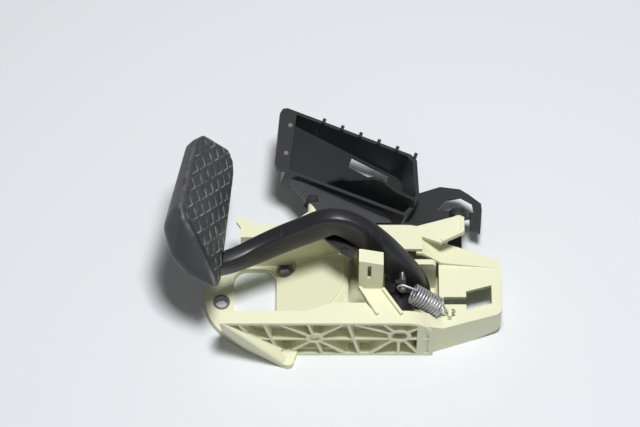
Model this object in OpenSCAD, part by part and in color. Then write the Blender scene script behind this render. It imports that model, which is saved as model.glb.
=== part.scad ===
// Brake pedal assembly of a car, lying on the bulkhead face of its bracket.
// Z points up from that face and X runs from the foot pad to the far end box.
// Y = 0 is the middle plane between the two cheeks, and the near cheek is at -Y.
// The origin is the centre of the stud circle, on the bulkhead face.

/* [Bracket] */
// Distance from the middle plane to the outside of a cheek
half_w = 39.5; // [37:0.5:44]
// Height of the cheeks
cheek_h = 47.7; // [44:0.1:54]
// Depth of the ribbed recess and its rails
beam_d = 10; // [8:0.5:11]
// Thickness of the moulded walls
wall_t = 3; // [2.4:0.1:3.6]
// Thickness of the truss ribs
rib_t = 2; // [1.4:0.1:2.6]
// Thickness of the stud flange
flange_t = 6; // [5:0.5:8]
// Radius of the round end of the flange
flange_r = 40; // [37:0.5:42]
// X of the end where the cheeks start to taper
taper_x = 112; // [109:0.5:116]
// X of the outside of the end box
end_x = 168; // [162:0.5:176]
// Height of the end box
end_h = 28.4; // [26:0.2:32]
// Half width of the end box
end_half_w = 21; // [20:0.5:23]
// Radius of the near corner of the end box
end_near_r = 6; // [4:0.5:7]
// Radius of the far corner of the end box
end_far_r = 3; // [2:0.5:4]

/* [Stud flange] */
// Pitch circle diameter of the three studs
stud_pcd = 60; // [58:0.5:62]
// Radius of the hole in a stud sleeve
stud_hole_r = 4.5; // [4:0.1:4.8]
// Wall of a stud sleeve
sleeve_t = 1.5; // [1.2:0.1:1.8]
// How far a sleeve stands out of the flange
sleeve_rise = 0.5; // [0.2:0.1:1]
// Width of the push rod opening
opening_w = 54; // [50:0.5:54]
// Height of the push rod opening
opening_h = 30.5; // [29:0.5:31]
// Radius of its corners
opening_r = 10; // [9:0.5:11]

/* [Pivot] */
// X of the pivot axis
pivot_x = 95.7; // [94:0.1:97]
// Height of the pivot axis
pivot_z = 28.4; // [27:0.1:30]
// Radius of the pivot bolt's shank
pivot_r = 5; // [4.5:0.1:5.5]
// Outer radius of the pivot tube
tube_r = 10; // [9:0.25:11]
// Wall of the pivot tube
tube_t = 2.5; // [2:0.1:3]
// Y of the inner face of the bearing wall
bearing_y = 13; // [12:0.5:15]
// Running clearance between a round piece and its hole
run_gap = 0.05; // [0.02:0.01:0.09]
// Gap at the sides of moving pieces
side_gap = 0.4; // [0.3:0.1:0.6]

/* [Pedal arm] */
// Width of the arm across the car
arm_w = 13; // [12:0.5:16]
// Depth of the arm in its plane
arm_d = 23; // [20:0.5:28]
// Thickness of the foot plate
plate_t = 3; // [2.5:0.5:4]
// Length of the foot pad across the car
pad_len = 110; // [106:1:114]
// Height of the foot pad
pad_h = 53; // [51:0.5:55]
// Thickness of the rubber over the foot plate
pad_t = 9; // [8:0.5:11]
// Height of the tread bars
tread_h = 1.6; // [1.2:0.1:2]
// Radius of the pad's crowned face
crown_r = 85; // [80:1:100]
// Tilt of the foot pad's face from level
pad_tilt = 48; // [44:1:52]

/* [Return spring] */
// Mean radius of the coil
coil_r = 6.6; // [6:0.1:7]
// Diameter of the wire
wire_d = 1.8; // [1.5:0.1:2]
// Number of turns
coil_turns = 10; // [8:1:12]

/* [Carrier tray] */
// Length of the tray
tray_len = 92; // [88:1:96]
// Width of the tray
tray_w = 49; // [46:1:52]
// Depth at the raised end
tray_d0 = 18; // [16:1:21]
// Depth at the low end
tray_d1 = 38; // [35:1:40]
// Wall of the tray
tray_t = 2.4; // [2:0.1:3]

/* [Hidden] */
$fn = 64;

beam_in = half_w - beam_d;
web_y = half_w - beam_d + 2.5;
stud_r = stud_pcd / 2;
stud_angles = [180, 60, -60];
sleeve_r = stud_hole_r + sleeve_t;
boss1 = [36.4, 24.9];
boss1_r = 6.5;
boss2 = [pivot_x, pivot_z];
boss2_r = 8.3;
hub_r = 9.5;
sleeve_h = flange_t + sleeve_rise;
nut_room_r = sleeve_r + 2.2;
corner_r = 19.4;
corner_c = [100, cheek_h - corner_r];
peg_r = 3.5;
peg1_x = 35;
peg2_x = 138;
peg_z = cheek_h - peg_r;
slant_top = [-30, cheek_h];
slant_foot = [16.4, 2.7];
mid_z = 24;
shelf_z = cheek_h - wall_t;
box_x = taper_x + 12;
rim_c = [29, 12];
rim_r = 28.5;
rim_h = 1.5;

// Extrude a plan outline between two heights
module plan(z0, z1) {
    translate([0, 0, z0]) linear_extrude(z1 - z0) children();
}

// Extrude a side outline, drawn in X and Z, between two values of Y
module profile(y0, y1) {
    translate([0, y1, 0]) rotate([90, 0, 0]) linear_extrude(y1 - y0) children();
}

// Round bar along Y
module cross_bar(x, z, r, y0, y1) {
    translate([x, y1, z]) rotate([90, 0, 0]) cylinder(r = r, h = y1 - y0);
}

// Straight rib between two points of a flat drawing
module rib(p, q, t) {
    run = q - p;
    translate(p) rotate(atan2(run[1], run[0])) translate([0, -t / 2]) square([norm(run), t]);
}

module opening_outline() {
    x_mid = -6.2;
    for (x = [-1, 1]) for (y = [-1, 1])
        translate([x_mid + x * (opening_h / 2 - opening_r), y * (opening_w / 2 - opening_r)]) circle(opening_r);
    translate([x_mid - opening_h / 2, -opening_w / 2 + opening_r]) square([opening_h, opening_w - 2 * opening_r]);
    translate([x_mid - opening_h / 2 + opening_r, -opening_w / 2]) square([opening_h - 2 * opening_r, opening_w]);
}

module flange_outline() {
    translate([-2, 5]) circle(flange_r, $fn = 128);
    translate([-2, -half_w + wall_t]) square([62, 2 * (half_w - wall_t)]);
    tail_outline();
}

// Flat foot of the flange in front of the near cheek
module tail_outline() {
    polygon([[-30, -22], [-14, -35], [15.6, -50.2], [21, -47.6], [24, -half_w], [20, -30], [-10, -20]]);
    translate([17.4, -46.4]) circle(4.2);
}

module stud_places() {
    for (a = stud_angles) rotate(a) translate([stud_r, 0]) children();
}

module stud_flange() {
    plan(0, flange_t) difference() {
        flange_outline();
        opening_outline();
    }
}

// Side outline of a cheek: straight rails with one rounded upper corner
module cheek_outline(x0) {
    translate([x0, 0]) square([taper_x - x0, cheek_h - corner_r]);
    translate([x0, 0]) square([corner_c[0] - x0, cheek_h]);
    translate([corner_c[0], 0]) square([corner_r, corner_c[1]]);
    translate(corner_c) circle(corner_r, $fn = 96);
}

// The ring of rails round the truss
module cheek_rails(x0) {
    translate([x0, 0]) square([corner_c[0] + corner_r - x0, wall_t]);
    translate([x0, cheek_h - wall_t]) square([corner_c[0] - x0, wall_t]);
    translate([corner_c[0] + corner_r - wall_t, 0]) square([wall_t, corner_c[1]]);
    intersection() {
        difference() {
            translate(corner_c) circle(corner_r, $fn = 96);
            translate(corner_c) circle(corner_r - wall_t, $fn = 96);
        }
        translate(corner_c) square(corner_r + 1);
    }
}

// Truss of ribs between the two bosses and the rails
module truss_ribs(x0) {
    low_z = 1;
    top_z = cheek_h - 1;
    rib([x0, mid_z], [corner_c[0] + corner_r - 1, mid_z], rib_t);
    for (top = [[10, top_z], [31.4, top_z], [57.9, top_z]]) rib(boss1, top, rib_t);
    for (low = [[15.7, low_z], [42, low_z], [58.6, low_z]]) rib(boss1, low, rib_t);
    for (top = [[61.4, top_z], [83.6, top_z], [111, 42]]) rib(boss2, top, rib_t);
    for (low = [[74.3, low_z], [95, low_z], [110, low_z]]) rib(boss2, low, rib_t);
    rib([59.3, top_z], [67.9, low_z], rib_t);
    rib([0.7, top_z], [11.4, low_z], rib_t);
    rib([-17, top_z], [-10.7, 31], rib_t);
}

// Everything below the slanted foot of the near truss
module below_slant() {
    polygon([slant_top - [8, 0], slant_top, [slant_foot[0] + slant_foot[1], 0], [slant_foot[0], -1],
             [slant_top[0] - 8, -1]]);
}

module slant_rail(drop) {
    intersection() {
        rib(slant_top + [drop, -2.4 * drop], slant_foot - [0, 1.4 * drop], wall_t);
        translate([slant_top[0], -drop]) square([60, cheek_h + drop]);
    }
}

// Ribbed beam of one cheek, from x0 to the rounded corner
module cheek_beam(x0, slanted) {
    profile(-half_w, -beam_in) {
        difference() {
            union() {
                cheek_rails(x0);
                translate(boss1) circle(boss1_r);
                translate(boss2) circle(boss2_r);
                intersection() {
                    cheek_outline(x0);
                    truss_ribs(x0);
                }
            }
            if (slanted) below_slant();
        }
        if (slanted) slant_rail(0);
    }
    profile(-web_y, -beam_in) difference() {
        cheek_outline(x0);
        if (slanted) below_slant();
    }
}

// Flared panel that joins the near truss to the flange's tail
module flare_block(skin) {
    hull() {
        profile(-half_w + skin, -beam_in + 2 * skin) slant_rail(skin);
        plan(-skin, 1) translate([skin, 1.3 * skin]) offset(delta = -0.4) tail_outline();
    }
}

// Smooth panel from the slanted rail down to the flange's tail, hollow behind
module near_flare() {
    difference() {
        flare_block(0);
        flare_block(wall_t);
        plan(-1, cheek_h) opening_outline();
        stud_places() translate([0, 0, flange_t]) cylinder(r = nut_room_r, h = 30);
    }
}

// Plan of the tapered end with its two rounded corners, drawn in by inset
module taper_outline(inset) {
    slope = (half_w - end_half_w) / (end_x - taper_x);
    slant = sqrt(1 + slope * slope);
    turn = 90 - atan(slope);
    near_x = end_x - end_near_r;
    near_y = slope * (near_x - taper_x) + end_near_r * slant - half_w;
    near_r = end_near_r - inset;
    far_x = end_x - end_far_r;
    far_y = half_w - slope * (far_x - taper_x) - end_far_r * slant;
    far_r = max(end_far_r - inset, 0.2);
    side = half_w - inset * slant;
    near_arc = [for (k = [0:6]) [near_x + near_r * cos(turn * (1 - k / 6)), near_y - near_r * sin(turn * (1 - k / 6))]];
    far_arc = [for (k = [0:6]) [far_x + far_r * cos(turn * k / 6), far_y + far_r * sin(turn * k / 6)]];
    polygon(concat([[taper_x - 8, inset - half_w], [taper_x, -side]], near_arc, far_arc,
                   [[taper_x, side], [taper_x - 8, half_w - inset]]));
}

// Side outline of the tapered end, with its sloping top
module taper_profile(drop) {
    polygon([[corner_c[0] + 8, 0], [end_x - 20, 0], [end_x, 5], [end_x, end_h - drop],
             [126, end_h + 3 - drop], [taper_x, cheek_h - 4 - drop], [corner_c[0] + 8, cheek_h - 4 - drop]]);
}

module taper_shelf_plan(y_in) {
    polygon([[taper_x - 4, -half_w + 1], [end_x, -end_half_w], [end_x, -end_half_w + 6],
             [taper_x - 4, -y_in]]);
}

module tapered_end() {
    intersection() {
        plan(0, cheek_h) difference() {
            taper_outline(0);
            taper_outline(wall_t);
        }
        profile(-half_w, half_w) taper_profile(0);
    }
    shelf_band(1, beam_in);
    shelf_band(-1, 19);
    plan(end_h - wall_t, end_h) difference() {
        end_top_plan();
        end_window_plan();
    }
    intersection() {
        plan(5, end_h) end_top_plan();
        profile(-half_w, half_w) translate([box_x, 0]) square([wall_t, end_h]);
    }
}

// Mirror the near side's shape to the far side
module scale_side(side) {
    mirror([0, side < 0 ? 1 : 0, 0]) children();
}

// Sloping shelf along the top of one side of the taper
module shelf_band(side, y_in) {
    intersection() {
        scale_side(side) plan(0, cheek_h) taper_shelf_plan(y_in);
        plan(0, cheek_h) taper_outline(0);
        profile(-half_w, half_w) difference() {
            taper_profile(0);
            taper_profile(wall_t);
            translate([0, -1]) square([end_x + 1, end_h - wall_t - 2]);
        }
    }
}

module end_top_plan() {
    intersection() {
        taper_outline(0);
        translate([box_x, -half_w]) square([end_x - box_x, 2 * half_w]);
    }
}

module end_window_plan() {
    polygon([[143, -19], [161, -13], [161, 1.5], [143, -3.5], [143, -8], [125, -8], [125, -14], [143, -14]]);
}

// Sloping web between the cheeks, from the stud flange up to the middle wall
module ramp_web() {
    difference() {
        union() {
            profile(-beam_in, beam_in) polygon([[9, 0], [9, 8], [57, 26], [60, 26], [60, 0], [57, 0],
                                                [57, 22.5], [13, 5], [13, 0]]);
            ramp_rim();
        }
        plan(-1, 40) opening_outline();
        stud_places() translate([0, 0, flange_t]) cylinder(r = nut_room_r, h = 30);
    }
}

// Raised arc on the ramp, round the foot of the bearing wall
module ramp_rim() {
    intersection() {
        profile(-beam_in, beam_in) polygon([[9, 7], [57, 25], [60, 25], [60, 26 + rim_h], [57, 26 + rim_h],
                                            [9, 8 + rim_h]]);
        plan(0, cheek_h) translate(rim_c) difference() {
            circle(rim_r);
            circle(rim_r - 2);
        }
        plan(0, cheek_h) translate([44, -beam_in]) square([16, 45]);
    }
}

// Floor and bearing wall under the pedal's pivot
module pivot_housing() {
    plan(cheek_h - wall_t, cheek_h) polygon([[28, -beam_in - 1], [48, -beam_in + 6.5], [72, -beam_in + 6.5],
                                             [78, -beam_in - 1]]);
    plan(0, wall_t) translate([50, -beam_in]) square([taper_x - 50, 2 * beam_in]);
    plan(0, wall_t) polygon([[taper_x, -beam_in], [126, -beam_in + 3], [126, beam_in - 3], [taper_x, beam_in]]);
    profile(bearing_y, bearing_y + 4) {
        translate([84, 0]) square([38, 34]);
        translate([84, 34]) square([34, 4]);
        translate([118, 34]) circle(4);
    }
    plan(cheek_h - wall_t, cheek_h) polygon([[72, beam_in - 9.5], [taper_x, beam_in - 9.5], [taper_x, half_w - 1],
                                             [60, half_w - 1], [60, beam_in]]);
}

// Holder for the brake light switch, on an arm from the near cheek
module switch_holder() {
    holder_top = 86.5;
    plan(shelf_z, cheek_h) polygon([[66, -9], [85, -12], [98, -beam_in - 1], [79, -beam_in - 4]]);
    plan(cheek_h, cheek_h + 3.5) {
        rib([67, -10], [80, -33], 2);
        rib([84, -13], [97, -33], 2);
    }
    difference() {
        plan(shelf_z, holder_top) translate([67, -12]) square([17, 10]);
        plan(shelf_z - 1, 80) translate([69.5, -10]) square([12, 6]);
        profile(-13, -9) translate([73, 63]) square([2.6, 17]);
        profile(-10, -4) translate([66, 54]) square([4, 26]);
        profile(-13, -1) polygon([[69, holder_top], [85, holder_top + 1], [85, holder_top - 5]]);
    }
}

// Pegs and ears that carry the tray at the far side
module tray_pegs() {
    plan(shelf_z, cheek_h) {
        polygon([[15, half_w - 2], [32, half_w - 2], [37, 50], [31.5, 50]]);
        polygon([[105, half_w - 2], [taper_x, 30], [125, 25], [142, 33.5], [142, 46], [136, 46.6]]);
        polygon([[-16, half_w - 2], [-19, 42], [-18.4, 46.5], [-12, 45.5], [-4, half_w - 2]]);
    }
    plan(cheek_h, cheek_h + 2) {
        rib([126, 26.2], [140.4, 33.8], 2.4);
        rib([140.4, 33.2], [140.4, 45], 3);
    }
    cross_bar(peg1_x, peg_z, peg_r, 40, 63);
    cross_bar(peg2_x, peg_z, peg_r, 38, 53);
}

// Lug for the spring's fixed hook
module spring_lug() {
    difference() {
        plan(5, anchor[2] + 4.2) translate([anchor[0] - lug_t / 2, anchor[1] - 4]) square([lug_t, 8]);
        translate([anchor[0] - 3, anchor[1], anchor[2]]) rotate([0, 90, 0]) cylinder(r = 2.1, h = 6);
    }
}

// Room round the coil, cut from the shelf beside it
module spring_relief() {
    along = spring_axis();
    translate(spring_pin_at) rotate([0, acos(along[2]), atan2(along[1], along[0])])
        translate([0, 0, 4]) cylinder(r = coil_r + wire_d / 2 + 0.8, h = spring_len() - 11);
}

module bracket() {
    color("#e9e5b8") difference() {
        union() {
            stud_flange();
            cheek_beam(slant_top[0], true);
            mirror([0, 1, 0]) cheek_beam(-16, false);
            near_flare();
            ramp_web();
            pivot_housing();
            tapered_end();
            switch_holder();
            tray_pegs();
            spring_lug();
            cross_bar(pivot_x, pivot_z, hub_r, -beam_in - 1, -near_face);
            cross_bar(pivot_x, pivot_z, hub_r + 2, bearing_y, bearing_y + 7);
        }
        spring_relief();
        stud_places() translate([0, 0, -1]) cylinder(r = sleeve_r + run_gap, h = sleeve_h + 2);
        cross_bar(pivot_x, pivot_z, pivot_r + run_gap, -half_w + 3, bearing_y + 30);
        cross_bar(pivot_x, pivot_z, pivot_r + 0.6, -half_w - 1, -half_w + 3.3);
        cross_bar(boss1[0], boss1[1], boss1_r - 3, -half_w - 1, -half_w + 1.2);
    }
}

module stud_sleeves() {
    color("#6b6a66") stud_places() difference() {
        cylinder(r = sleeve_r, h = sleeve_h);
        translate([0, 0, -1]) cylinder(r = stud_hole_r, h = sleeve_h + 2);
    }
}

// Pedal arm: points on its centre line, from the heel past the pivot to the foot plate
near_face = 26;
arm_points = [[pivot_x + 15, 1, pivot_z - 13], [pivot_x + 11.3, 1.7, pivot_z], [pivot_x + 4.8, 3.5, pivot_z + 12],
              [92.9, 6.5, 52], [80, 12, 68], [64, 19, 79.5], [48, 22, 83], [30, 20.5, 73.2], [12, 17.5, 64.5],
              [-6, 11.5, 59], [-20, 5, 58.5], [-33, -0.5, 61], [-42, -6, 67], [-44.5, -7.5, 71]];
arm_rings = 40;
arm_sides = 20;

// Point on a smooth curve through the arm's points, at position t from 0 to 1
function curve_point(pts, t) =
    let (last = len(pts) - 1,
         pos = min(t * last, last - 0.0001),
         i = floor(pos),
         f = pos - i,
         p0 = pts[max(i - 1, 0)],
         p1 = pts[i],
         p2 = pts[i + 1],
         p3 = pts[min(i + 2, last)])
    0.5 * (2 * p1 + (p2 - p0) * f + (2 * p0 - 5 * p1 + 4 * p2 - p3) * f * f
           + (3 * p1 - p0 - 3 * p2 + p3) * f * f * f);

function unit(v) = v / norm(v);

// One oval ring round the curve: side lies across the car and lift in the arm's plane
function oval_ring(pts, t, w, d) =
    let (c = curve_point(pts, t),
         ahead = unit(curve_point(pts, min(t + 0.01, 1)) - curve_point(pts, max(t - 0.01, 0))),
         lift = unit(cross(ahead, [0, 1, 0])),
         side = cross(lift, ahead))
    [for (k = [0:arm_sides - 1])
        let (a = 360 * k / arm_sides,
             cs = cos(a),
             sn = sin(a))
        c + side * (w / 2 * sign(cs) * pow(abs(cs), 0.75)) + lift * (d / 2 * sign(sn) * pow(abs(sn), 0.75))];

// Closed tube through a list of rings with the same number of points
module ring_tube(rings) {
    n = len(rings[0]);
    m = len(rings);
    points = [for (r = rings) for (p = r) p];
    sides = [for (i = [0:m - 2]) for (k = [0:n - 1])
        let (a = i * n + k,
             b = i * n + (k + 1) % n)
        each [[a, b + n, b], [a, a + n, b + n]]];
    start_cap = [for (k = [0:n - 1]) k];
    end_cap = [for (k = [n - 1:-1:0]) (m - 1) * n + k];
    polyhedron(points = points, faces = concat([start_cap], sides, [end_cap]), convexity = 6);
}

// Height of the flat under the arm's heel
heel_z = 15;

function arm_depth(t) = arm_d - 5 * max(0, (t - 0.55) / 0.45) - 7 * max(0, (0.15 - t) / 0.15);

// The arm's swept body, with its surface moved out by grow
module arm_sweep(grow) {
    ring_tube([for (i = [0:arm_rings])
        oval_ring(arm_points, i / arm_rings, arm_w + 2 * grow, arm_depth(i / arm_rings) + 2 * grow)]);
}

// The arm with its end cut off at the back of the pad's plate
module arm_body(grow) {
    difference() {
        arm_sweep(grow);
        pad_frame() difference() {
            translate([0, 0, -25]) linear_extrude(60) pad_outline(0.5 - grow);
            crown_bar(crown_r - pad_t + grow);
        }
    }
}

module pedal_arm() {
    color("#26262a") difference() {
        arm_body(0);
        cross_bar(pivot_x, pivot_z, tube_r + run_gap, -30, 40);
        translate([pivot_x + 4, -20, heel_z - 20]) cube([40, 40, 20]);
    }
}

// Welded plate beside the arm, from the tube up to the spring pin
module hub_plate() {
    color("#232326") difference() {
        union() {
            cross_bar(pivot_x, pivot_z, 12.4, -10.6, -7.6);
            profile(-10.6, -7.6) translate([pivot_x - 3, pivot_z]) square([7.3, 24.5]);
        }
        cross_bar(pivot_x, pivot_z, tube_r + run_gap, -12, -6);
        cross_bar(spring_pin_at[0], spring_pin_at[2], spring_pin_r + run_gap, -12, -6);
    }
}

// Y of the bearing faces, less the flange of a bush and the side gap
bush_flange = 1.2;
tube_y0 = -near_face + bush_flange + side_gap;
tube_y1 = bearing_y - bush_flange - side_gap;

module pivot_tube() {
    color("#1d1d20") difference() {
        cross_bar(pivot_x, pivot_z, tube_r, tube_y0, tube_y1);
        cross_bar(pivot_x, pivot_z, tube_r - tube_t, tube_y0 - 1, tube_y1 + 1);
    }
}

module bush(y_out, y_in) {
    y_low = min(y_out, y_in);
    y_high = max(y_out, y_in);
    flange_low = y_out < y_in ? y_out - bush_flange : y_out;
    color("#d8d4c4") difference() {
        union() {
            cross_bar(pivot_x, pivot_z, tube_r - tube_t - 0.02, y_low, y_high);
            cross_bar(pivot_x, pivot_z, tube_r - 0.5, flange_low, flange_low + bush_flange);
        }
        cross_bar(pivot_x, pivot_z, pivot_r + run_gap, y_low - 5, y_high + 5);
    }
}

module bush_near() { bush(tube_y0, tube_y0 + 10); }
module bush_far() { bush(tube_y1, tube_y1 - 10); }

nut_y = bearing_y + 7;
washer_t = 1.6;

module pivot_bolt() {
    color("#8d9094") cross_bar(pivot_x, pivot_z, pivot_r, -half_w + 3.2, nut_y + 9.2);
}

module pivot_washer() {
    color("#a7a9ac") difference() {
        cross_bar(pivot_x, pivot_z, 9.5, nut_y, nut_y + washer_t);
        cross_bar(pivot_x, pivot_z, pivot_r + run_gap, nut_y - 1, nut_y + 3);
    }
}

module pivot_nut() {
    color("#8d9094") difference() {
        translate([pivot_x, nut_y + washer_t + 7, pivot_z]) rotate([90, 0, 0]) cylinder(r = 8.5, h = 7, $fn = 6);
        cross_bar(pivot_x, pivot_z, pivot_r + run_gap, nut_y, nut_y + 12);
    }
}

clevis_z = 62;
flange_x = 61;
pin_y = 17;
pin_z = 53;
pin_r = 4;
pin_free = 8;
shank_r = pin_r - 1;

// Folded sheet lug for the push rod's fork, welded under the arm
module clevis_plate() {
    color("#3b3d3f") difference() {
        union() {
            plan(clevis_z, clevis_z + 3) polygon([[41, 21], [flange_x, 2], [flange_x, 26], [43, 26]]);
            plan(43.5, clevis_z + 3) translate([flange_x, 2]) square([3, 24]);
            plan(clevis_z, clevis_z + 16) translate([44, 22]) square([flange_x - 44, 3]);
        }
        arm_sweep(0.02);
        side_pin(flange_x - 3, flange_x + 5, shank_r + run_gap);
        translate([57, 9, clevis_z + 1.5]) cylinder(r = 2.6, h = 3);
    }
}

// Round bar along X on the axis of the push rod pin
module side_pin(x0, x1, r) {
    translate([x0, pin_y, pin_z]) rotate([0, 90, 0]) cylinder(r = r, h = x1 - x0);
}

module clevis_pin() {
    color("#8f8f8c") {
        side_pin(flange_x - pin_free, flange_x, pin_r);
        side_pin(flange_x - 1, flange_x + 8.5, shank_r);
        side_pin(flange_x + 3.3, flange_x + 5.3, pin_r + 1.6);
    }
}

module pin_clip() {
    color("#e2562b") difference() {
        side_pin(flange_x + 5.6, flange_x + 7.2, pin_r + 2.2);
        side_pin(flange_x + 5, flange_x + 9, shank_r + run_gap);
    }
}

// Frame of the foot pad: x across the pad's height, y along its length, z out of its face
pad_c = [-43, 30, 86];
pad_yaw = -9;
pad_low = 31;
module pad_frame() {
    translate(pad_c) rotate([0, pad_tilt, 0]) rotate([0, 0, pad_yaw]) children();
}

// Outline of the rubber pad, with its lower near corner cut away
module pad_outline(grow) {
    low = pad_low;
    top = pad_low - pad_h;
    far = pad_len / 2 + 6;
    near = pad_len / 2 - 6;
    offset(delta = grow) polygon([[top + 3, far - 14], [top + 10, far - 6], [low - 16, far], [low - 8, far - 4],
                                  [low - 5, far - 10], [low, 8 - near], [low - 1.5, 3 - near], [low - 5, -near],
                                  [top + 3, 28 - near], [top - 0.5, 36 - near]]);
}

// Round bar along the pad, whose surface is the crowned face or a layer below it
module crown_bar(r) {
    translate([-8, 70, pad_t - plate_t - crown_r]) rotate([90, 0, 0]) cylinder(r = r, h = 140, $fn = 150);
}

// Layer of the pad between two depths under its face
module pad_layer(depth0, depth1, grow) {
    intersection() {
        translate([0, 0, -40]) linear_extrude(60) pad_outline(grow);
        difference() {
            crown_bar(crown_r - depth0);
            crown_bar(crown_r - depth1);
        }
        translate([-50, -80, -30]) cube([100, 160, 50]);
    }
}

module pad_plate() {
    color("#202124") pad_frame() pad_layer(pad_t - plate_t, pad_t, -3);
}

// Deep smooth boot of the pad, over the end of the arm
module pad_boot() {
    hull() {
        intersection() {
            pad_layer(pad_t - plate_t, pad_t + 2, -0.5);
            translate([-40, -60, -40]) cube([80, 66, 60]);
        }
        translate([-14, -6, -10]) sphere(6, $fn = 24);
        translate([-6, -28, -15]) sphere(9, $fn = 28);
        translate([12, -38, -13]) sphere(8, $fn = 24);
        translate([4, -8, -8]) sphere(6, $fn = 24);
    }
}

module pad_rubber() {
    color("#46474b") difference() {
        pad_frame() {
            difference() {
                union() {
                    pad_layer(0, pad_t + 2, 0);
                    pad_boot();
                }
                pad_layer(pad_t - plate_t - 0.1, pad_t + 0.1, -2.8);
                intersection() {
                    pad_layer(pad_t - 1, pad_t + 4, -4.5);
                    translate([-40, 6, -40]) cube([80, 66, 60]);
                }
            }
            intersection() {
                pad_layer(-tread_h, 0.5, -1.5);
                tread_bars();
            }
        }
        arm_body(0.2);
    }
}

// Two families of crossing bars that leave diamond pits between them
module tread_bars() {
    pitch = 9;
    for (s = [-1, 1]) for (i = [-9:9])
        rotate(s * 60) translate([i * pitch - 1.1, -80, -20]) cube([2.2, 160, 40]);
}

// Spring: hook pin on the arm, lug on the bracket
spring_pin_at = [pivot_x + 2, -12, pivot_z + 21];
spring_pin_r = 2.2;
anchor = [131, -24, 33];
lug_t = 2.4;

module spring_pin() {
    color("#9b9c9e") difference() {
        cross_bar(spring_pin_at[0], spring_pin_at[2], spring_pin_r, -15, 2);
        arm_sweep(0.02);
    }
}

// Axis of the coil, and the two directions square to it
function spring_axis() = unit(anchor - spring_pin_at);
function spring_side() = unit(cross(spring_axis(), [0, 0, 1]));
function spring_up() = cross(spring_side(), spring_axis());
function spring_len() = norm(anchor - spring_pin_at);
function spring_point(along, r, a) =
    spring_pin_at + spring_axis() * along + spring_side() * (r * cos(a)) + spring_up() * (r * sin(a));

hook_len = 8.5;
coil_steps = 14;
hook_r = spring_pin_r + wire_d / 2 + 0.2;
lug_hook_r = 3.2;
flat_axis = unit([anchor[0] - spring_pin_at[0], 0, anchor[2] - spring_pin_at[2]]);
flat_up = [-flat_axis[2], 0, flat_axis[0]];

// Points of an open hook round a centre, from one angle to another, in the plane across the car
function hook_points(c, r, from, to, ahead, up) =
    let (steps = 8)
    [for (k = [0:steps]) let (a = from + (to - from) * k / steps) c + ahead * (r * cos(a)) + up * (r * sin(a))];

function spring_path() = concat(
    hook_points(spring_pin_at, hook_r, 300, 100, flat_axis, flat_up),
    [for (k = [0:coil_turns * coil_steps])
        spring_point(hook_len + (spring_len() - 2 * hook_len) * k / (coil_turns * coil_steps), coil_r,
                     90 + 360 * k / coil_steps)],
    hook_points(anchor + [0, 0, lug_hook_r], lug_hook_r, 150, 420, [1, 0, 0], [0, 0, 1]));

// Round wire swept along a list of points
function wire_ring(path, i, r, n) =
    let (last = len(path) - 1,
         ahead = unit(path[min(i + 1, last)] - path[max(i - 1, 0)]),
         out = unit(path[i] - (spring_pin_at + spring_axis() * ((path[i] - spring_pin_at) * spring_axis())) + [0, 0, 0.001]),
         side = unit(cross(ahead, out)),
         lift = cross(ahead, side))
    [for (k = [0:n - 1]) path[i] + side * (r * cos(360 * k / n)) + lift * (r * sin(360 * k / n))];

module return_spring() {
    path = spring_path();
    color("#a9adb2") ring_tube([for (i = [0:len(path) - 1]) wire_ring(path, i, wire_d / 2, 8)]);
}

// Rubber stop on the bracket's floor, under the heel of the arm
module stop_buffer() {
    color("#2a2a2a") translate([pivot_x + 15, 1, wall_t]) cylinder(r = 5, h = heel_z - wall_t - 0.3);
}

// Put the tray's own axes in place: length, then width away from the bracket, then height
tray_at = [8.6, 78.8, 61];
tray_tilt = 12;
tray_turn = -17;
module tray_frame() {
    translate(tray_at) rotate([0, tray_tilt, tray_turn]) children();
}

screw_places = [[3.4, 13.5], [-0.5, 36]];

module tray_side(floor_t) {
    fall = (tray_d1 - tray_d0) / tray_len;
    polygon([[-12, 1], [tray_len + 14, 1], [tray_len + 14, floor_t - tray_d1 - 14 * fall],
             [-12, floor_t - tray_d0 + 12 * fall]]);
}

// Rim of the tray in its own plane, with the wide flat end that carries the screws
module tray_rim_plan() {
    polygon([[-1.6, 3], [-10.3, tray_w - 6], [-9.6, tray_w - 2], [-6.5, tray_w], [tray_len - 4, tray_w],
             [tray_len + 1.5, tray_w - 3], [tray_len + 11, 20], [tray_len + 10.5, 9], [tray_len + 6, 0], [1, 0]]);
}

module tray_room_plan() {
    polygon([[9.3, tray_t], [1.2, tray_w - tray_t], [tray_len - 6, tray_w - tray_t], [tray_len - 1, tray_w - 5.5],
             [tray_len + 8.4, 19.5], [tray_len + 8, 10], [tray_len + 4.5, tray_t]]);
}

// Flat loop at the tray's low end, drawn in plan
module tray_loop_plan() {
    low_end = tray_at[0] + tray_len * cos(tray_tilt) * cos(tray_turn);
    difference() {
        polygon([[low_end - 4.9, 55.4], [126, 58], [131, 58], [131, 36], [141, 34], [141, 59], [147, 59.5], [147, 51],
                 [154.4, 47.6], [156, 66], [155.6, 71.5], [147, 79], [140.6, 83.5], [126.4, 85.5], [112, 80.5],
                 [low_end + 1.5, 76]]);
        polygon([[124, 66], [131, 75], [141, 77], [149, 72], [150, 64], [138, 66]]);
    }
}

// Open clip that snaps over a peg of the bracket
module peg_clip(x, y0, y1) {
    difference() {
        cross_bar(x, peg_z, peg_r + 3, y0, y1);
        profile(y0 - 1, y1 + 1) polygon([[x, peg_z], [x - 6, peg_z - 12], [x + 6, peg_z - 12]]);
    }
}

// Panel from the tray's near wall down to the far cheek
module tray_skirt() {
    hull() {
        tray_frame() translate([12, 0.5, -16]) cube([70, tray_t - 1, 8]);
        translate([46, half_w + 1.5, cheek_h - 4]) cube([44, 2.4, 4]);
    }
}

// Slanting post from the loop up to the second clip
module loop_post() {
    hull() {
        translate([142, 60, 20]) cube([6, 5, tray_t]);
        translate([peg2_x + 3, 48, peg_z - 1]) cube([3.4, 4, 4]);
    }
}

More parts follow.
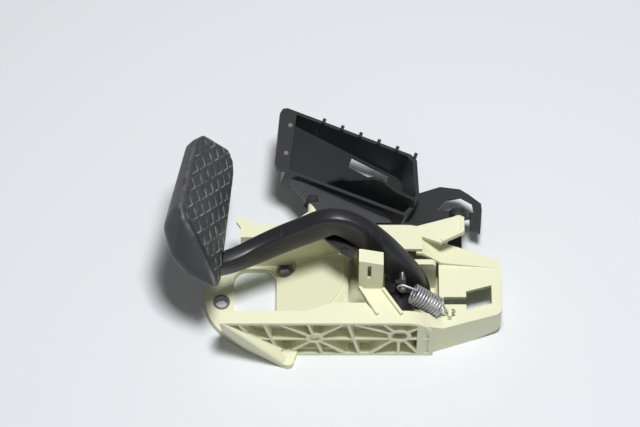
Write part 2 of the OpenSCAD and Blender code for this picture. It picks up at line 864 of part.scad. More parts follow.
module carrier_tray() {
    color("#2b2d2f") difference() {
        union() {
            tray_frame() {
                difference() {
                    intersection() {
                        profile(-1, tray_w + 1) tray_side(0);
                        plan(-60, 0) offset(delta = tray_t) tray_room_plan();
                    }
                    intersection() {
                        profile(-1, tray_w + 1) tray_side(tray_t);
                        plan(-60, 1) tray_room_plan();
                    }
                    translate([50, 36, -50]) cube([30, 9, 40]);
                }
                plan(-tray_t, 0) difference() {
                    tray_rim_plan();
                    tray_room_plan();
                }
                profile(1.5, 9) polygon([[9, -tray_d0], [9, 7 - tray_d0], [tray_len + 5, 12 - tray_d1],
                                         [tray_len + 5, 2 - tray_d1]]);
                profile(8, 8 + tray_t) polygon([[38, -22], [38, -12], [47, 3], [52, 5], [68, 20], [74, 20], [86, 13],
                                                [tray_len + 9, 11], [tray_len + 9, -32]]);
                for (x = [20:14:tray_len - 2]) translate([x, tray_w - tray_t, -1]) cube([2.4, 4, 3]);
            }
            plan(20, 20 + tray_t) tray_loop_plan();
            peg_clip(peg1_x, 57.5, 62.5);
            peg_clip(peg2_x, 47.4, 52);
            loop_post();
            tray_skirt();
        }
        cross_bar(peg1_x, peg_z, peg_r + 0.1, 30, 63.2);
        cross_bar(peg2_x, peg_z, peg_r + 0.1, 30, 53.2);
    }
}

module tray_screws() {
    color("#c9ccce") tray_frame() for (place = screw_places) translate([place[0], place[1], 0]) cylinder(r = 1.6, h = 1.2);
}

bracket();
stud_sleeves();
pedal_arm();
hub_plate();
pivot_tube();
bush_near();
bush_far();
pivot_bolt();
pivot_washer();
pivot_nut();
clevis_plate();
clevis_pin();
pin_clip();
pad_plate();
pad_rubber();
spring_pin();
return_spring();
stop_buffer();
carrier_tray();
tray_screws();
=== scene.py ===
import math
import bpy
import bmesh
from mathutils import Vector, Matrix


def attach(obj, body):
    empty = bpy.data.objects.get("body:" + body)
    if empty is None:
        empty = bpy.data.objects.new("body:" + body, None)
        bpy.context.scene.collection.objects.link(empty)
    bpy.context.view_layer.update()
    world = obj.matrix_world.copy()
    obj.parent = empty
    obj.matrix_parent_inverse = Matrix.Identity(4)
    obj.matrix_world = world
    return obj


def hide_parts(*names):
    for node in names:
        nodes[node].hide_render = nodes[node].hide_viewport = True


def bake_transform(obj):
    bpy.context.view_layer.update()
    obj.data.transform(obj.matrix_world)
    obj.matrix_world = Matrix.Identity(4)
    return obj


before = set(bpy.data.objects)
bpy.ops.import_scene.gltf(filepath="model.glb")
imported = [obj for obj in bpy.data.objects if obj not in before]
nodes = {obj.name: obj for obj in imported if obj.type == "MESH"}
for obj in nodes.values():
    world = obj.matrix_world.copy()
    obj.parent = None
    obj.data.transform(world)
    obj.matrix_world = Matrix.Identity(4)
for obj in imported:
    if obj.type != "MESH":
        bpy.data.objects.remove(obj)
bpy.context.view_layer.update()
mm = 0.001  # the pieces are stated in mm, the scene is in metres


def plainSocket(shader, name, value):
    shader.inputs[name].default_value = value


def newGroup(name, sockets):
    # an empty shader group that the finishes share
    group = bpy.data.node_groups.new(name, "ShaderNodeTree")
    for label, side, kind, value in sockets:
        socket = group.interface.new_socket(name=label, in_out=side, socket_type=kind)
        if value is not None:
            socket.default_value = value
    entry = group.nodes.new("NodeGroupInput")
    leave = group.nodes.new("NodeGroupOutput")
    return group, entry, leave


def rangeNode(tree, low, high):
    # a map from low..high to 0..1
    node = tree.new("ShaderNodeMapRange")
    node.inputs["From Min"].default_value = low
    node.inputs["From Max"].default_value = high
    return node


def makeMottle():
    # slow change between two colours, with fine grain on top and a matching bump height
    group, entry, leave = newGroup("mottledGrain", [
        ("Vector", "INPUT", "NodeSocketVector", None),
        ("Colour A", "INPUT", "NodeSocketColor", None),
        ("Colour B", "INPUT", "NodeSocketColor", None),
        ("Patch Scale", "INPUT", "NodeSocketFloat", 30.0),
        ("Grain Scale", "INPUT", "NodeSocketFloat", 900.0),
        ("Colour", "OUTPUT", "NodeSocketColor", None),
        ("Height", "OUTPUT", "NodeSocketFloat", None),
    ])
    n, l = group.nodes, group.links
    patch = n.new("ShaderNodeTexNoise")
    patch.inputs["Detail"].default_value = 3
    grain = n.new("ShaderNodeTexNoise")
    grain.inputs["Detail"].default_value = 2
    mix = n.new("ShaderNodeMix")
    mix.data_type = "RGBA"
    l.new(entry.outputs["Vector"], patch.inputs["Vector"])
    l.new(entry.outputs["Vector"], grain.inputs["Vector"])
    l.new(entry.outputs["Patch Scale"], patch.inputs["Scale"])
    l.new(entry.outputs["Grain Scale"], grain.inputs["Scale"])
    l.new(patch.outputs["Fac"], mix.inputs["Factor"])
    l.new(entry.outputs["Colour A"], mix.inputs["A"])
    l.new(entry.outputs["Colour B"], mix.inputs["B"])
    l.new(mix.outputs["Result"], leave.inputs["Colour"])
    l.new(grain.outputs["Fac"], leave.inputs["Height"])
    return group


scuffShape = dict(stretch=(1.0, 0.12, 0.25), turn=(0.4, 0.3, 0.7), detail=4, line=(0.62, 0.72),
                  areaScale=45, area=(0.5, 0.62))


def makeScuff(look):
    # short pale scratches that only show where a slow noise lets them
    group, entry, leave = newGroup("scuffMarks", [
        ("Vector", "INPUT", "NodeSocketVector", None),
        ("Colour", "INPUT", "NodeSocketColor", None),
        ("Mark", "INPUT", "NodeSocketColor", None),
        ("Amount", "INPUT", "NodeSocketFloat", 0.4),
        ("Scale", "INPUT", "NodeSocketFloat", 220.0),
        ("Colour", "OUTPUT", "NodeSocketColor", None),
    ])
    n, l = group.nodes, group.links
    stretch = n.new("ShaderNodeMapping")
    stretch.inputs["Scale"].default_value = look["stretch"]
    stretch.inputs["Rotation"].default_value = look["turn"]
    streak = n.new("ShaderNodeTexNoise")
    streak.inputs["Detail"].default_value = look["detail"]
    where = n.new("ShaderNodeTexNoise")
    where.inputs["Scale"].default_value = look["areaScale"]
    edge = rangeNode(n, *look["line"])
    gate = rangeNode(n, *look["area"])
    both = n.new("ShaderNodeMath")
    both.operation = "MULTIPLY"
    level = n.new("ShaderNodeMath")
    level.operation = "MULTIPLY"
    mix = n.new("ShaderNodeMix")
    mix.data_type = "RGBA"
    l.new(entry.outputs["Vector"], stretch.inputs["Vector"])
    l.new(stretch.outputs["Vector"], streak.inputs["Vector"])
    l.new(entry.outputs["Scale"], streak.inputs["Scale"])
    l.new(entry.outputs["Vector"], where.inputs["Vector"])
    l.new(streak.outputs["Fac"], edge.inputs["Value"])
    l.new(where.outputs["Fac"], gate.inputs["Value"])
    l.new(edge.outputs["Result"], both.inputs[0])
    l.new(gate.outputs["Result"], both.inputs[1])
    l.new(both.outputs["Value"], level.inputs[0])
    l.new(entry.outputs["Amount"], level.inputs[1])
    l.new(level.outputs["Value"], mix.inputs["Factor"])
    l.new(entry.outputs["Colour"], mix.inputs["A"])
    l.new(entry.outputs["Mark"], mix.inputs["B"])
    l.new(mix.outputs["Result"], leave.inputs["Colour"])
    return group


mottledGrain = makeMottle()
scuffMarks = makeScuff(scuffShape)

# patches in which raised places are rubbed pale
wear = dict(patch=160, detail=3, low=0.36, high=0.62)


def makeMaterial(name, look):
    material = bpy.data.materials.new(name)
    material.use_nodes = True
    n, l = material.node_tree.nodes, material.node_tree.links
    shader = n["Principled BSDF"]
    place = n.new("ShaderNodeTexCoord")
    mottle = n.new("ShaderNodeGroup")
    mottle.node_tree = mottledGrain
    mottle.inputs["Colour A"].default_value = (*look["colour"], 1)
    mottle.inputs["Colour B"].default_value = (*look.get("colourTwo", look["colour"]), 1)
    mottle.inputs["Patch Scale"].default_value = look.get("patch", 30)
    mottle.inputs["Grain Scale"].default_value = look.get("grain", 900)
    l.new(place.outputs["Object"], mottle.inputs["Vector"])
    colour = mottle.outputs["Colour"]
    if look.get("scuffs"):
        scuff = n.new("ShaderNodeGroup")
        scuff.node_tree = scuffMarks
        scuff.inputs["Mark"].default_value = (*look["scuffColour"], 1)
        scuff.inputs["Amount"].default_value = look["scuffs"]
        scuff.inputs["Scale"].default_value = look.get("scuffScale", 220)
        l.new(place.outputs["Object"], scuff.inputs["Vector"])
        l.new(colour, scuff.inputs["Colour"])
        colour = scuff.outputs["Colour"]
    if look.get("worn"):
        # the piece's own "worn" attribute, up to 1 on raised, rubbed places
        attribute = n.new("ShaderNodeAttribute")
        attribute.attribute_name = "worn"
        patches = n.new("ShaderNodeTexNoise")
        patches.inputs["Scale"].default_value = wear["patch"]
        patches.inputs["Detail"].default_value = wear["detail"]
        spread = rangeNode(n, wear["low"], wear["high"])
        rubbed = n.new("ShaderNodeMath")
        rubbed.operation = "MULTIPLY"
        l.new(place.outputs["Object"], patches.inputs["Vector"])
        l.new(patches.outputs["Fac"], spread.inputs["Value"])
        l.new(spread.outputs["Result"], rubbed.inputs[0])
        l.new(attribute.outputs["Fac"], rubbed.inputs[1])
        rub = n.new("ShaderNodeMix")
        rub.data_type = "RGBA"
        rub.inputs["B"].default_value = (*look["worn"], 1)
        l.new(rubbed.outputs["Value"], rub.inputs["Factor"])
        l.new(colour, rub.inputs["A"])
        colour = rub.outputs["Result"]
    l.new(colour, shader.inputs["Base Color"])
    rough = n.new("ShaderNodeMapRange")
    rough.inputs["To Min"].default_value = look["rough"] - look.get("roughSpread", 0.06)
    rough.inputs["To Max"].default_value = look["rough"] + look.get("roughSpread", 0.06)
    l.new(mottle.outputs["Height"], rough.inputs["Value"])
    l.new(rough.outputs["Result"], shader.inputs["Roughness"])
    bump = n.new("ShaderNodeBump")
    bump.inputs["Strength"].default_value = look.get("bump", 0.15)
    bump.inputs["Distance"].default_value = look.get("bumpDepth", 0.0002)
    l.new(mottle.outputs["Height"], bump.inputs["Height"])
    l.new(bump.outputs["Normal"], shader.inputs["Normal"])
    plainSocket(shader, "Metallic", look.get("metal", 0.0))
    plainSocket(shader, "Specular IOR Level", look.get("specular", 0.5))
    return material


finishes = {
    "creamNylon": dict(colour=(0.84, 0.85, 0.62), colourTwo=(0.80, 0.81, 0.57), patch=18, grain=700,
                       rough=0.46, bump=0.10, specular=0.35),
    "blackPaint": dict(colour=(0.016, 0.016, 0.019), colourTwo=(0.024, 0.024, 0.028), patch=40, grain=500,
                       rough=0.38, bump=0.08, scuffs=0.25, scuffColour=(0.20, 0.20, 0.19), scuffScale=420),
    "padRubber": dict(colour=(0.044, 0.045, 0.050), colourTwo=(0.060, 0.061, 0.067), patch=45, grain=1400,
                      rough=0.44, bump=0.2, scuffs=0.35, scuffColour=(0.25, 0.25, 0.25),
                      worn=(0.33, 0.33, 0.33)),
    "stopRubber": dict(colour=(0.03, 0.03, 0.03), rough=0.7, bump=0.3),
    "dullSteel": dict(colour=(0.30, 0.29, 0.27), colourTwo=(0.20, 0.19, 0.17), patch=90,
                      rough=0.45, metal=0.85),
    "platedSteel": dict(colour=(0.62, 0.62, 0.60), colourTwo=(0.50, 0.50, 0.49), patch=120,
                        rough=0.32, metal=1.0),
    "springSteel": dict(colour=(0.60, 0.61, 0.62), colourTwo=(0.48, 0.49, 0.51), patch=160,
                        rough=0.42, metal=0.6),
    "orangePlastic": dict(colour=(0.80, 0.13, 0.04), rough=0.4),
    "bushPlastic": dict(colour=(0.72, 0.70, 0.62), rough=0.45),
    "blackPlastic": dict(colour=(0.022, 0.023, 0.026), colourTwo=(0.034, 0.035, 0.039), patch=25, grain=800,
                         rough=0.40, bump=0.14, scuffs=0.25, scuffColour=(0.22, 0.22, 0.22)),
}
materials = {name: makeMaterial(name, look) for name, look in finishes.items()}
print("materials made:", len(materials))


def dress(obj, finish):
    obj.data.materials.clear()
    obj.data.materials.append(materials[finish])


def linkPiece(name, bm, finish, body, sharp=35):
    mesh = bpy.data.meshes.new(name)
    bm.to_mesh(mesh)
    bm.free()
    mesh.shade_smooth()
    mesh.set_sharp_from_angle(angle=math.radians(sharp))
    obj = bpy.data.objects.new(name, mesh)
    bpy.context.scene.collection.objects.link(obj)
    dress(obj, finish)
    if body:
        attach(obj, body)
    return obj


def bakeModifiers(obj):
    # makes the result of the modifiers the piece's own mesh
    bpy.context.view_layer.update()
    result = bpy.data.meshes.new_from_object(obj.evaluated_get(bpy.context.evaluated_depsgraph_get()))
    obj.modifiers.clear()
    obj.data = result


cleaning = dict(weld=0.004, sliver=0.01, flatAngle=1.0)  # mm, mm and degrees


def softCopy(nodeName, pieceName, look):
    # a moulding with softened edges, made from a copy of its CAD solid
    bm = bmesh.new()
    bm.from_mesh(nodes[nodeName].data)
    bmesh.ops.remove_doubles(bm, verts=bm.verts, dist=cleaning["weld"] * mm)
    bmesh.ops.dissolve_degenerate(bm, edges=bm.edges, dist=cleaning["sliver"] * mm)
    bmesh.ops.dissolve_limit(bm, angle_limit=math.radians(cleaning["flatAngle"]), verts=bm.verts,
                             edges=bm.edges)
    piece = linkPiece(pieceName, bm, look["finish"], look["body"])
    bevel = piece.modifiers.new("softEdges", "BEVEL")
    bevel.width = look["edge"] * mm
    bevel.segments = look["segments"]
    bevel.limit_method = "ANGLE"
    bevel.angle_limit = math.radians(look["angle"])
    bevel.use_clamp_overlap = True
    bevel.harden_normals = False
    even = piece.modifiers.new("evenShade", "WEIGHTED_NORMAL")
    even.keep_sharp = True
    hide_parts(nodeName)


bracketLook = dict(finish="creamNylon", body="root", slot="cream_nylon", edge=0.7, segments=2, angle=40)
softCopy("bracket", "bracketMoulding", bracketLook)
trayLook = dict(finish="blackPlastic", body="root", slot="black_plastic", edge=0.6, segments=2, angle=40)
softCopy("carrier_tray", "carrierTrayMoulding", trayLook)
print("mouldings made")

# the swept lever, points from the heel over the stop to the end under the pad, in mm
lever = dict(
    points=[(110.7, 1, 15.4), (107, 1.7, 28.4), (100.5, 3.5, 40.4), (92.9, 6.5, 52), (80, 12, 68),
            (64, 19, 79.5), (48, 22, 83), (30, 20.5, 73.2), (12, 17.5, 64.5), (-6, 11.5, 59),
            (-20, 5, 58.5), (-33, -0.5, 61), (-42, -6, 67), (-44.5, -7.5, 71)],
    width=13.0, depth=23.0, taper=5.0, taperFrom=0.55, taperRun=0.45, heelTaper=7.0, heelTo=0.15,
    heelFlat=15.0, stations=52, sides=32, squareness=0.52, reach=0.01)


def curvePoint(points, t):
    last = len(points) - 1
    pos = min(t * last, last - 0.0001)
    i = int(pos)
    f = pos - i
    p0, p1, p2, p3 = (Vector(points[k]) for k in (max(i - 1, 0), i, i + 1, min(i + 2, last)))
    return 0.5 * (2 * p1 + (p2 - p0) * f + (2 * p0 - 5 * p1 + 4 * p2 - p3) * f * f
                  + (3 * p1 - p0 - 3 * p2 + p3) * f * f * f)


def leverDepth(look, t):
    # the bar is shallower towards the pad and at the heel
    return (look["depth"] - look["taper"] * max(0, (t - look["taperFrom"]) / look["taperRun"])
            - look["heelTaper"] * max(0, (look["heelTo"] - t) / look["heelTo"]))


def stationMatrix(look, t):
    # place, turn and size of the lever's section at t, from 0 at the heel to 1 at the pad
    points, reach = look["points"], look["reach"]
    ahead = (curvePoint(points, min(t + reach, 1)) - curvePoint(points, max(t - reach, 0))).normalized()
    lift = ahead.cross(Vector((0, 1, 0))).normalized()
    side = lift.cross(ahead)
    turn = Matrix((side, lift, ahead)).transposed().to_4x4()
    size = Matrix.Diagonal((look["width"] / 2, leverDepth(look, t) / 2, 1, 1))
    return Matrix.Translation(curvePoint(points, t)) @ turn @ size


def makeLever(look):
    bm = bmesh.new()
    ring = bmesh.ops.create_circle(bm, cap_ends=False, segments=look["sides"], radius=1)["verts"]
    for v in ring:
        for axis in (0, 1):
            v.co[axis] = math.copysign(abs(v.co[axis]) ** look["squareness"], v.co[axis])
    edges = list({e for v in ring for e in v.link_edges})
    first = edges[:]
    last = stationMatrix(look, 0)
    bmesh.ops.transform(bm, matrix=last, verts=ring)
    for i in range(1, look["stations"] + 1):
        step = bmesh.ops.extrude_edge_only(bm, edges=edges)
        verts = [g for g in step["geom"] if isinstance(g, bmesh.types.BMVert)]
        edges = [g for g in step["geom"] if isinstance(g, bmesh.types.BMEdge)]
        edges = [e for e in edges if all(v in verts for v in e.verts)]
        here = stationMatrix(look, i / look["stations"])
        bmesh.ops.transform(bm, matrix=here @ last.inverted(), verts=verts)
        last = here
    bmesh.ops.holes_fill(bm, edges=first + edges, sides=0)
    # the flat under the heel, which rests on the stop
    cut = bmesh.ops.bisect_plane(bm, geom=bm.verts[:] + bm.edges[:] + bm.faces[:],
                                 plane_co=(0, 0, look["heelFlat"]), plane_no=(0, 0, 1), clear_inner=True)
    rim = [g for g in cut["geom_cut"] if isinstance(g, bmesh.types.BMEdge)]
    bmesh.ops.holes_fill(bm, edges=rim, sides=0)
    bmesh.ops.recalc_face_normals(bm, faces=bm.faces)
    bmesh.ops.scale(bm, vec=(mm, mm, mm), verts=bm.verts)
    return linkPiece("leverArm", bm, "blackPaint", "pedal", sharp=50)


# the return spring, from the pin on the lever to the lug on the bracket
spring = dict(pin=(97.7, -12, 49.4), anchor=(131, -24, 33), coilRadius=6.6, wire=1.8, turns=10,
              stepsPerTurn=28, hookLength=8.5, hookSteps=16, pinHook=3.3, pinSweep=(300, -200),
              lugHook=3.2, lugSweep=(150, 270), sides=3)


def springRoute(look):
    pin, anchor = Vector(look["pin"]), Vector(look["anchor"])
    along = (anchor - pin).normalized()
    side = along.cross(Vector((0, 0, 1))).normalized()
    up = side.cross(along)
    flat = Vector((anchor.x - pin.x, 0, anchor.z - pin.z)).normalized()
    flatUp = Vector((-flat.z, 0, flat.x))
    length = (anchor - pin).length
    route = []
    for k in range(look["hookSteps"] + 1):
        a = math.radians(look["pinSweep"][0] + look["pinSweep"][1] * k / look["hookSteps"])
        route.append(pin + flat * (look["pinHook"] * math.cos(a)) + flatUp * (look["pinHook"] * math.sin(a)))
    steps = look["turns"] * look["stepsPerTurn"]
    for k in range(steps + 1):
        a = math.radians(90 + 360 * k / look["stepsPerTurn"])
        run = look["hookLength"] + (length - 2 * look["hookLength"]) * k / steps
        route.append(pin + along * run + side * (look["coilRadius"] * math.cos(a))
                     + up * (look["coilRadius"] * math.sin(a)))
    for k in range(look["hookSteps"] + 1):
        a = math.radians(look["lugSweep"][0] + look["lugSweep"][1] * k / look["hookSteps"])
        route.append(anchor + look["lugHook"] * Vector((math.cos(a), 0, 1 + math.sin(a))))
    return [p * mm for p in route]


def tubeFromRoute(name, route, radius, sides):
    curve = bpy.data.curves.new(name, "CURVE")
    curve.dimensions = "3D"
    curve.bevel_depth = radius
    curve.bevel_resolution = sides
    curve.use_fill_caps = True
    line = curve.splines.new("POLY")
    line.points.add(len(route) - 1)
    for point, place in zip(line.points, route):
        point.co = (*place, 1)
    holder = bpy.data.objects.new(name + "Route", curve)
    bpy.context.scene.collection.objects.link(holder)
    bpy.context.view_layer.update()
    mesh = bpy.data.meshes.new_from_object(holder.evaluated_get(bpy.context.evaluated_depsgraph_get()))
    bpy.data.objects.remove(holder)
    bm = bmesh.new()
    bm.from_mesh(mesh)
    return bm


springMesh = tubeFromRoute("springWire", springRoute(spring), spring["wire"] / 2 * mm, spring["sides"])
springWire = linkPiece("springWire", springMesh, "springSteel", None, sharp=60)
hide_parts("return_spring")
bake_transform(springWire)
print("spring made")

# the foot pad in its own frame: x across its height, y along it, z out of the face
pad = dict(
    centre=(-43, 30, 86), tilt=48, yaw=-9, plate=3.0, faceHeight=6.0, crownX=-8, crownRadius=85,
    outline=[(-19, 47), (-12, 55), (15, 61), (23, 57), (26, 51), (31, -41), (29.5, -46), (26, -49),
             (-19, -21), (-22.5, -13)],
    inside=(4, 4),
    leverX=30.2, leverLean=0.96, leverGap=0.5, roomX=(-34, -24, -14, -4, 6, 14, 22), roomHead=40, roomHalf=75,
    rubber=11.0, thinRubber=6.5, thinFrom=-40,
    rimBall=2.2, rimDrop=1.5, rimPull=(0.965, 0.975), backBall=1.0, backLift=1.5, backPull=(0.94, 0.97),
    spineX=(-14, -8, -2, 4, 10, 16), spineY=(-12, 52), spineDrop=1.2,
    bootBalls=[(-14, -2, -8, 6), (-7, -16, -11, 11), (1, -30, -12.5, 9.5), (12, -37, -10, 9),
               (4, -8, -8, 6)],
    voxel=1.0, smoothing=12, softness=0.5,
    rimWear=0.55, rimLevel=1.0, rimReach=2.6, rimSoft=1.8,
    cellX=12.0, cellY=15.0, cellHeight=1.0, cellBase=1.6, cellsX=5, cellsY=7, barHalf=1.5, wornLine=0.3,
    pitSlope=0.45, pitDepth=1.0, pitShift=(-0.5, 0.7), margin=2.3, rubbedEdge=0.22, crease=30)


def padFrame(look):
    return (Matrix.Translation(look["centre"]) @ Matrix.Rotation(math.radians(look["tilt"]), 4, "Y")
            @ Matrix.Rotation(math.radians(look["yaw"]), 4, "Z"))


def crown(look, x):
    # height of the crowned face over the pad's frame
    radius = look["crownRadius"]
    return look["faceHeight"] - radius + math.sqrt(radius ** 2 - (x - look["crownX"]) ** 2)


def trimLeverEnd(arm, look):
    # takes off the part of the lever that would stand in the pad, on a lean at the face's low edge
    bm = bmesh.new()
    edge, head, half = look["leverX"], look["roomHead"], look["roomHalf"]
    lip = crown(look, edge)
    low = [(x, crown(look, x) - look["faceHeight"] - look["plate"]) for x in (*look["roomX"], edge)]
    above = [(edge, lip + look["leverGap"]), (edge - look["leverLean"] * (head - lip), head),
             (look["roomX"][0], head)]
    ring = [bm.verts.new((x, -half, z)) for x, z in low + above]
    side = bm.faces.new(ring)
    away = bmesh.ops.extrude_face_region(bm, geom=[side])
    farSide = [g for g in away["geom"] if isinstance(g, bmesh.types.BMVert)]
    bmesh.ops.translate(bm, vec=(0, 2 * half, 0), verts=farSide)
    bmesh.ops.transform(bm, matrix=Matrix.Scale(mm, 4) @ padFrame(look), verts=bm.verts)
    bmesh.ops.recalc_face_normals(bm, faces=bm.faces)
    mesh = bpy.data.meshes.new("padRoom")
    bm.to_mesh(mesh)
    bm.free()
    cutter = bpy.data.objects.new("padRoom", mesh)
    bpy.context.scene.collection.objects.link(cutter)
    trim = arm.modifiers.new("padRoom", "BOOLEAN")
    trim.operation = "DIFFERENCE"
    trim.solver = "EXACT"
    trim.object = cutter
    bakeModifiers(arm)
    bpy.data.objects.remove(cutter)


leverArm = makeLever(lever)
trimLeverEnd(leverArm, pad)
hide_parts("pedal_arm")
print("lever made")


def makePadBoot(look):
    # hull over balls at the face's rim, at the back of the rubber and in the boot, then smoothed
    bm = bmesh.new()

    def ball(place, radius, fineness):
        bmesh.ops.create_icosphere(bm, subdivisions=fineness, radius=radius, matrix=Matrix.Translation(place))

    for x, y in look["outline"]:
        face = crown(look, x)
        depth = look["thinRubber" if y < look["thinFrom"] else "rubber"]
        ball((x * look["rimPull"][0], y * look["rimPull"][1], face - look["rimDrop"]), look["rimBall"], 2)
        ball((x * look["backPull"][0], y * look["backPull"][1], face + look["backLift"] - depth),
             look["backBall"], 1)
    for x in look["spineX"]:
        for y in look["spineY"]:
            ball((x, y, crown(look, x) - look["spineDrop"]), look["backBall"], 1)
    for x, y, z, radius in look["bootBalls"]:
        ball((x, y, z), radius, 3)
    hull = bmesh.ops.convex_hull(bm, input=bm.verts)
    spare = [g for g in hull["geom_interior"] if isinstance(g, bmesh.types.BMVert)]
    bmesh.ops.delete(bm, geom=spare, context="VERTS")
    bmesh.ops.transform(bm, matrix=Matrix.Scale(mm, 4) @ padFrame(look), verts=bm.verts)
    bmesh.ops.recalc_face_normals(bm, faces=bm.faces)
    boot = linkPiece("padRubberBoot", bm, "padRubber", "pedal", sharp=80)
    grid = boot.modifiers.new("evenGrid", "REMESH")
    grid.mode = "VOXEL"
    grid.voxel_size = look["voxel"] * mm
    grid.use_smooth_shade = True
    soft = boot.modifiers.new("soften", "SMOOTH")
    soft.iterations = look["smoothing"]
    soft.factor = look["softness"]
    bakeModifiers(boot)
    markWornRim(boot, look)
    return boot


def markWornRim(boot, look):
    # paints the rubbed edge of the face into the boot's "worn" attribute
    toPad = (Matrix.Scale(mm, 4) @ padFrame(look)).inverted()
    corners = [Vector(c) for c in look["outline"]]
    layer = boot.data.attributes.new("worn", "FLOAT", "POINT")
    for v in boot.data.vertices:
        place = toPad @ v.co
        flat = place.xy
        near = math.inf
        for k, a in enumerate(corners):
            b = corners[(k + 1) % len(corners)]
            f = max(0.0, min(1.0, (flat - a).dot(b - a) / (b - a).length_squared))
            near = min(near, (flat - a.lerp(b, f)).length)
        depth = abs(place.z - crown(look, place.x) + look["rimLevel"])
        layer.data[v.index].value = (look["rimWear"] * max(0.0, 1 - near / look["rimReach"])
                                     * max(0.0, 1 - depth / look["rimSoft"]))


def treadCell(bm, look, place):
    # one diamond of the tread: bars at its edge and a shallow pit, whose rim it gives back
    halfX, halfY, base = look["cellX"] / 2, look["cellY"] / 2, look["cellBase"]
    centre = Vector((place[0] * halfX, place[1] * halfY, -base))
    ring = bmesh.ops.create_circle(bm, cap_ends=True, segments=4, radius=1,
                                   matrix=Matrix.Translation(centre)
                                   @ Matrix.Diagonal((halfX, halfY, 1, 1)))
    face = ring["verts"][0].link_faces[0]
    if face.normal.z < 0:
        bmesh.ops.reverse_faces(bm, faces=[face])
    up = bmesh.ops.extrude_face_region(bm, geom=[face])
    top = [g for g in up["geom"] if isinstance(g, bmesh.types.BMFace)][0]
    bmesh.ops.translate(bm, vec=(0, 0, base + look["cellHeight"]), verts=top.verts)
    bmesh.ops.inset_region(bm, faces=[top], thickness=look["barHalf"], depth=0)
    bmesh.ops.inset_region(bm, faces=[top], thickness=look["wornLine"], depth=0)
    bmesh.ops.inset_region(bm, faces=[top], thickness=look["pitSlope"], depth=-look["pitDepth"])
    pit = list(top.verts)
    bmesh.ops.translate(bm, vec=(*look["pitShift"], 0), verts=pit)
    return [e.other_vert(v) for v in pit for e in v.link_edges if e.other_vert(v) not in pit]


def makePadTread(look):
    bm = bmesh.new()
    worn = bm.verts.layers.float.new("worn")
    rims = []
    for i in range(-look["cellsX"], look["cellsX"] + 1):
        for j in range(-look["cellsY"], look["cellsY"] + 1):
            for shift in (0, 1):
                rims += treadCell(bm, look, (2 * i + shift, 2 * j + shift))
    for v in rims:
        v[worn] = 1.0
    # cut back to the face's outline, a margin inside it
    corners = [Vector((*c, 0)) for c in look["outline"]]
    for k, a in enumerate(corners):
        run = (corners[(k + 1) % len(corners)] - a).normalized()
        out = Vector((run.y, -run.x, 0))
        if out.dot(a - Vector((*look["inside"], 0))) < 0:
            out = -out
        cut = bmesh.ops.bisect_plane(bm, geom=bm.verts[:] + bm.edges[:] + bm.faces[:], dist=1e-5,
                                     plane_co=a - out * look["margin"], plane_no=out, clear_outer=True)
        rim = [g for g in cut["geom_cut"] if isinstance(g, bmesh.types.BMEdge)]
        bmesh.ops.holes_fill(bm, edges=rim, sides=0)
    bmesh.ops.dissolve_degenerate(bm, edges=bm.edges, dist=0.02)
    for v in bm.verts:
        v.co.z += crown(look, v.co.x)
    bmesh.ops.transform(bm, matrix=Matrix.Scale(mm, 4) @ padFrame(look), verts=bm.verts)
    bmesh.ops.recalc_face_normals(bm, faces=bm.faces)
    tread = linkPiece("padTread", bm, "padRubber", "pedal", sharp=look["crease"])
    bevel = tread.modifiers.new("rubbedEdges", "BEVEL")
    bevel.width = look["rubbedEdge"] * mm
    bevel.segments = 1
    bevel.limit_method = "ANGLE"
    bevel.angle_limit = math.radians(look["crease"])


padBoot = makePadBoot(pad)
makePadTread(pad)
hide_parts("pad_rubber")
print("pad made")

# CAD nodes that are shown as they are
keptNodes = {
    "stud_sleeves": "dullSteel", "hub_plate": "blackPaint", "pivot_tube": "blackPaint",
    "bush_near": "bushPlastic", "bush_far": "bushPlastic",
    "pivot_bolt": "platedSteel", "pivot_washer": "platedSteel", "pivot_nut": "platedSteel",
    "clevis_plate": "blackPaint", "clevis_pin": "platedSteel", "pin_clip": "orangePlastic",
    "pad_plate": "blackPaint", "spring_pin": "platedSteel", "stop_buffer": "stopRubber",
    "tray_screws": "platedSteel"}
for nodeName, finish in keptNodes.items():
    dress(nodes[nodeName], finish)

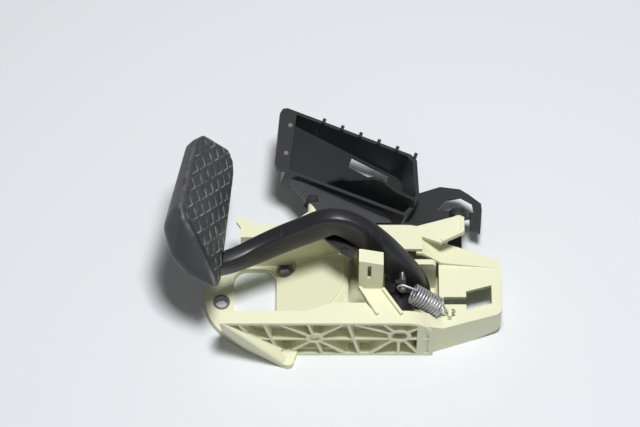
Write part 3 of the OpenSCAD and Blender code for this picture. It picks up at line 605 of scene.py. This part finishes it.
# floor, light and camera, in metres
studio = dict(floorSize=6.0, floorColour=(0.80, 0.83, 0.86), floorRough=0.8, worldLevel=0.13,
              lampSize=0.28, lampPower=20.5, lampPlace=(0.16, -0.12, 1.5), lampAim=(0.04, 0.05, 0),
              target=(0.040, 0.059, 0.030), distance=2.5, elevation=60, lens=197)
floorMesh = bmesh.new()
bmesh.ops.create_grid(floorMesh, x_segments=1, y_segments=1, size=studio["floorSize"] / 2)
floorData = bpy.data.meshes.new("floor")
floorMesh.to_mesh(floorData)
floorMesh.free()
floor = bpy.data.objects.new("floor", floorData)
bpy.context.scene.collection.objects.link(floor)
floorLook = bpy.data.materials.new("paleFloor")
floorLook.use_nodes = True
floorShader = floorLook.node_tree.nodes["Principled BSDF"]
plainSocket(floorShader, "Base Color", (*studio["floorColour"], 1))
plainSocket(floorShader, "Roughness", studio["floorRough"])
floorData.materials.append(floorLook)

world = bpy.data.worlds.new("softRoom")
bpy.context.scene.world = world
world.use_nodes = True
wn, wl = world.node_tree.nodes, world.node_tree.links
# a dim white for the light and a plain white behind everything that the camera sees
sky = wn["Background"]
sky.inputs["Color"].default_value = (1, 1, 1, 1)
sky.inputs["Strength"].default_value = studio["worldLevel"]
seen = wn.new("ShaderNodeBackground")
seen.inputs["Color"].default_value = (1, 1, 1, 1)
seen.inputs["Strength"].default_value = 1.0
rays = wn.new("ShaderNodeLightPath")
pick = wn.new("ShaderNodeMixShader")
wl.new(rays.outputs["Is Camera Ray"], pick.inputs["Fac"])
wl.new(sky.outputs["Background"], pick.inputs[1])
wl.new(seen.outputs["Background"], pick.inputs[2])
wl.new(pick.outputs["Shader"], wn["World Output"].inputs["Surface"])


def areaLamp(name, place, aim, size, power):
    data = bpy.data.lights.new(name, "AREA")
    data.shape = "SQUARE"
    data.size = size
    data.energy = power
    lamp = bpy.data.objects.new(name, data)
    lamp.location = place
    lamp.rotation_euler = (Vector(aim) - Vector(place)).to_track_quat("-Z", "Y").to_euler()
    bpy.context.scene.collection.objects.link(lamp)


areaLamp("topSoftbox", studio["lampPlace"], studio["lampAim"], studio["lampSize"], studio["lampPower"])

cameraData = bpy.data.cameras.new("camera")
cameraData.lens = studio["lens"]
cameraData.sensor_width = 36
cameraData.clip_end = 20
camera = bpy.data.objects.new("camera", cameraData)
tip = math.radians(studio["elevation"])
camera.location = Vector(studio["target"]) + studio["distance"] * Vector((0, -math.cos(tip), math.sin(tip)))
camera.rotation_euler = (math.radians(90 - studio["elevation"]), 0, 0)
bpy.context.scene.collection.objects.link(camera)
bpy.context.scene.camera = camera
bpy.context.scene.view_settings.view_transform = "Standard"
print("stage made")
